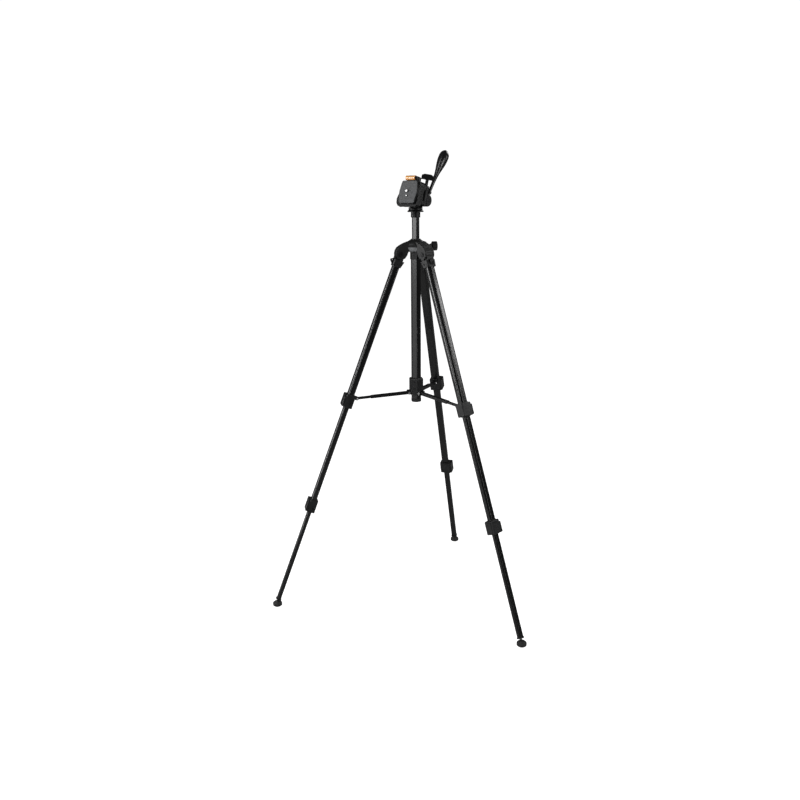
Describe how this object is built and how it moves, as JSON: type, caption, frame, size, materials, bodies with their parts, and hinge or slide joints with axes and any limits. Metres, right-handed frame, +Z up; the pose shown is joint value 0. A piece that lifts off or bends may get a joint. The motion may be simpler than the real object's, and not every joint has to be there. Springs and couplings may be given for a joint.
{
  "type": "tripod with three-way pan head",
  "caption": "Folding tripod with sectioned legs, centre brace, rising column and a three-way pan head with quick-release plate for a laser level or camera.",
  "frame": {"origin": "on the floor, at the middle of the rectangle round the feet", "axes": "+Z up, +Y towards the rear leg, +X towards the right leg's side"},
  "size_m": [0.672, 0.5852, 1.1518],
  "materials": {
    "casting": "fine texture",
    "tube": "gloss anodised black",
    "moulding": "satin moulded black",
    "brace_metal": "satin black",
    "grip": "glossy black",
    "plate": "fine texture",
    "pad": "ribbed rubber",
    "steel": "bright",
    "rubber": "moulded rubber",
    "vial": "clear coloured",
    "level": "clear"
  },
  "bodies": {
    "crown": {"crown": "casting", "leg_hinge_bolts": "brace_metal", "column_sleeve": "moulding", "column_tube": "tube", "tube_end_cap": "moulding", "crown_level": "level"},
    "lock_knob": {"column_lock_knob": "moulding"},
    "column": {"center_column": "tube", "pan_base": "moulding"},
    "pan_head": {"pan_housing": "moulding", "tilt_axle": "brace_metal"},
    "tilt_body": {"tilt_body": "moulding"},
    "pan_handle": {"pan_handle": "grip"},
    "flip_knob": {"flip_lock_knob": "moulding"},
    "platform": {"platform": "moulding", "level_vial": "vial"},
    "release_lever": {"release_lever": "plate"},
    "release_plate": {"release_plate": "plate", "plate_pad": "pad", "video_pin": "steel"},
    "camera_screw": {"camera_screw": "steel"},
    "hub": {"spreader_hub": "moulding", "hub_pins": "steel"},
    "right_leg": {"right_leg_top": "casting", "right_upper_tube": "tube", "right_upper_collar": "moulding"},
    "right_upper_lever": {"right_upper_lever": "moulding"},
    "right_middle": {"right_middle_tube": "tube", "right_lower_collar": "moulding"},
    "right_lower_lever": {"right_lower_lever": "moulding"},
    "right_lower": {"right_lower_tube": "tube", "right_ankle": "moulding"},
    "right_foot": {"right_foot": "rubber"},
    "right_brace": {"right_brace": "brace_metal"},
    "right_brace_tongue": {"right_brace_tongue": "brace_metal"},
    "left_leg": {"left_leg_top": "casting", "left_upper_tube": "tube", "left_upper_collar": "moulding"},
    "left_upper_lever": {"left_upper_lever": "moulding"},
    "left_middle": {"left_middle_tube": "tube", "left_lower_collar": "moulding"},
    "left_lower_lever": {"left_lower_lever": "moulding"},
    "left_lower": {"left_lower_tube": "tube", "left_ankle": "moulding"},
    "left_foot": {"left_foot": "rubber"},
    "left_brace": {"left_brace": "brace_metal"},
    "left_brace_tongue": {"left_brace_tongue": "brace_metal"},
    "rear_leg": {"rear_leg_top": "casting", "rear_upper_tube": "tube", "rear_upper_collar": "moulding"},
    "rear_upper_lever": {"rear_upper_lever": "moulding"},
    "rear_middle": {"rear_middle_tube": "tube", "rear_lower_collar": "moulding"},
    "rear_lower_lever": {"rear_lower_lever": "moulding"},
    "rear_lower": {"rear_lower_tube": "tube", "rear_ankle": "moulding"},
    "rear_foot": {"rear_foot": "rubber"},
    "rear_brace": {"rear_brace": "brace_metal"},
    "rear_brace_tongue": {"rear_brace_tongue": "brace_metal"}
  },
  "joints": [
    {"name": "column_lock_turn", "type": "hinge", "parent": "crown", "child": "lock_knob", "pos_m": [0.03031, -0.076, 0.9235], "axis": [0.866, 0.5, 0], "range_deg": [0, 180]},
    {"name": "column_slide", "type": "slide", "parent": "crown", "child": "column", "axis": [0, 0, 1], "range_m": [-0.05, 0.2]},
    {"name": "head_pan", "type": "hinge", "parent": "column", "child": "pan_head", "pos_m": [0, -0.0935, 1.015], "axis": [0, 0, 1], "continuous": true},
    {"name": "head_tilt", "type": "hinge", "parent": "pan_head", "child": "tilt_body", "pos_m": [0.00643, -0.07885, 1.033], "axis": [0.9157, -0.4019, 0], "range_deg": [-90, 0]},
    {"name": "handle_twist", "type": "hinge", "parent": "tilt_body", "child": "pan_handle", "pos_m": [0.02876, -0.07524, 1.05096], "axis": [0.2166, 0.4933, 0.8425], "range_deg": [0, 90]},
    {"name": "flip_knob_turn", "type": "hinge", "parent": "tilt_body", "child": "flip_knob", "pos_m": [0.02476, -0.08686, 1.06621], "axis": [0.1081, 0.2462, 0.9632], "range_deg": [0, 90]},
    {"name": "platform_flip", "type": "hinge", "parent": "tilt_body", "child": "platform", "pos_m": [0.02216, -0.09277, 1.0431], "axis": [0.1081, 0.2462, 0.9632], "range_deg": [0, 90]},
    {"name": "release_lever_turn", "type": "hinge", "parent": "platform", "child": "release_lever", "pos_m": [-0.02945, -0.09965, 1.02469], "axis": [-0.3871, -0.8819, 0.2689], "range_deg": [0, 25], "stiffness_Nm_per_rad": 0.04},
    {"name": "plate_lift", "type": "slide", "parent": "platform", "child": "release_plate", "axis": [-0.3871, -0.8819, 0.2689], "range_m": [0, 0.03]},
    {"name": "camera_screw_turn", "type": "hinge", "parent": "release_plate", "child": "camera_screw", "pos_m": [-0.01321, -0.1134, 1.05504], "axis": [-0.3871, -0.8819, 0.2689], "continuous": true},
    {"name": "right_leg_fold", "type": "hinge", "parent": "crown", "child": "right_leg", "pos_m": [0.03429, -0.1133, 0.905], "axis": [0.5, 0.866, 0], "range_deg": [0, 20]},
    {"name": "left_leg_fold", "type": "hinge", "parent": "crown", "child": "left_leg", "pos_m": [-0.03429, -0.1133, 0.905], "axis": [0.5, -0.866, 0], "range_deg": [0, 20]},
    {"name": "rear_leg_fold", "type": "hinge", "parent": "crown", "child": "rear_leg", "pos_m": [0, -0.0539, 0.905], "axis": [-1, 0, 0], "range_deg": [0, 20]},
    {"name": "hub_slide", "type": "slide", "parent": "crown", "child": "hub", "axis": [0, 0, 1], "range_m": [0, 0.1104]},
    {"name": "right_brace_hub", "type": "hinge", "parent": "hub", "child": "right_brace", "pos_m": [0.01689, -0.10325, 0.5565], "axis": [0.5, 0.866, 0], "range_deg": [0, 85.29]},
    {"name": "right_brace_lug", "type": "hinge", "parent": "right_leg", "child": "right_brace_tongue", "pos_m": [0.1329, -0.17023, 0.54818], "axis": [0.5, 0.866, 0], "range_deg": [0, 65.29]},
    {"name": "right_upper_clamp", "type": "hinge", "parent": "right_leg", "child": "right_upper_lever", "pos_m": [0.16848, -0.17622, 0.54769], "axis": [-0.3033, 0.1751, 0.9367], "range_deg": [0, 100]},
    {"name": "right_lower_clamp", "type": "hinge", "parent": "right_middle", "child": "right_lower_lever", "pos_m": [0.25482, -0.22607, 0.27642], "axis": [-0.3033, 0.1751, 0.9367], "range_deg": [0, 100]},
    {"name": "right_middle_slide", "type": "slide", "parent": "right_leg", "child": "right_middle", "axis": [0.3033, -0.1751, -0.9367], "range_m": [-0.25, 0]},
    {"name": "right_lower_slide", "type": "slide", "parent": "right_middle", "child": "right_lower", "axis": [0.3033, -0.1751, -0.9367], "range_m": [-0.25, 0]},
    {"name": "right_foot_swivel", "type": "hinge", "parent": "right_lower", "child": "right_foot", "pos_m": [0.32389, -0.2805, 0.0105], "axis": [0.5, 0.866, 0], "range_deg": [-25, 25]},
    {"name": "left_brace_hub", "type": "hinge", "parent": "hub", "child": "left_brace", "pos_m": [-0.01689, -0.10325, 0.5565], "axis": [0.5, -0.866, 0], "range_deg": [0, 85.29]},
    {"name": "left_brace_lug", "type": "hinge", "parent": "left_leg", "child": "left_brace_tongue", "pos_m": [-0.1329, -0.17023, 0.54818], "axis": [0.5, -0.866, 0], "range_deg": [0, 65.29]},
    {"name": "left_upper_clamp", "type": "hinge", "parent": "left_leg", "child": "left_upper_lever", "pos_m": [-0.15588, -0.19805, 0.54769], "axis": [0.3033, 0.1751, 0.9367], "range_deg": [0, 100]},
    {"name": "left_lower_clamp", "type": "hinge", "parent": "left_middle", "child": "left_lower_lever", "pos_m": [-0.24222, -0.2479, 0.27642], "axis": [0.3033, 0.1751, 0.9367], "range_deg": [0, 100]},
    {"name": "left_middle_slide", "type": "slide", "parent": "left_leg", "child": "left_middle", "axis": [-0.3033, -0.1751, -0.9367], "range_m": [-0.25, 0]},
    {"name": "left_lower_slide", "type": "slide", "parent": "left_middle", "child": "left_lower", "axis": [-0.3033, -0.1751, -0.9367], "range_m": [-0.25, 0]},
    {"name": "left_foot_swivel", "type": "hinge", "parent": "left_lower", "child": "left_foot", "pos_m": [-0.32389, -0.2805, 0.0105], "axis": [0.5, -0.866, 0], "range_deg": [-25, 25]},
    {"name": "rear_brace_hub", "type": "hinge", "parent": "hub", "child": "rear_brace", "pos_m": [0, -0.074, 0.5565], "axis": [-1, 0, 0], "range_deg": [0, 85.29]},
    {"name": "rear_brace_lug", "type": "hinge", "parent": "rear_leg", "child": "rear_brace_tongue", "pos_m": [0, 0.05996, 0.54818], "axis": [-1, 0, 0], "range_deg": [0, 65.29]},
    {"name": "rear_upper_clamp", "type": "hinge", "parent": "rear_leg", "child": "rear_upper_lever", "pos_m": [-0.0126, 0.09377, 0.54769], "axis": [0, -0.3502, 0.9367], "range_deg": [0, 100]},
    {"name": "rear_lower_clamp", "type": "hinge", "parent": "rear_middle", "child": "rear_lower_lever", "pos_m": [-0.0126, 0.19347, 0.27642], "axis": [0, -0.3502, 0.9367], "range_deg": [0, 100]},
    {"name": "rear_middle_slide", "type": "slide", "parent": "rear_leg", "child": "rear_middle", "axis": [0, 0.3502, -0.9367], "range_m": [-0.25, 0]},
    {"name": "rear_lower_slide", "type": "slide", "parent": "rear_middle", "child": "rear_lower", "axis": [0, 0.3502, -0.9367], "range_m": [-0.25, 0]},
    {"name": "rear_foot_swivel", "type": "hinge", "parent": "rear_lower", "child": "rear_foot", "pos_m": [0, 0.2805, 0.0105], "axis": [-1, 0, 0], "range_deg": [-25, 25]}
  ],
  "couplings": [
    {"joint": "left_leg_fold", "follows": "right_leg_fold", "ratio": 1},
    {"joint": "rear_leg_fold", "follows": "right_leg_fold", "ratio": 1},
    {"joint": "hub_slide", "follows": "right_leg_fold", "m_per_rad": 0.31047},
    {"joint": "right_brace_hub", "follows": "right_leg_fold", "ratio": 4.2144},
    {"joint": "right_brace_lug", "follows": "right_leg_fold", "ratio": 3.2144},
    {"joint": "left_brace_hub", "follows": "right_leg_fold", "ratio": 4.2144},
    {"joint": "left_brace_lug", "follows": "right_leg_fold", "ratio": 3.2144},
    {"joint": "rear_brace_hub", "follows": "right_leg_fold", "ratio": 4.2144},
    {"joint": "rear_brace_lug", "follows": "right_leg_fold", "ratio": 3.2144}
  ]
}
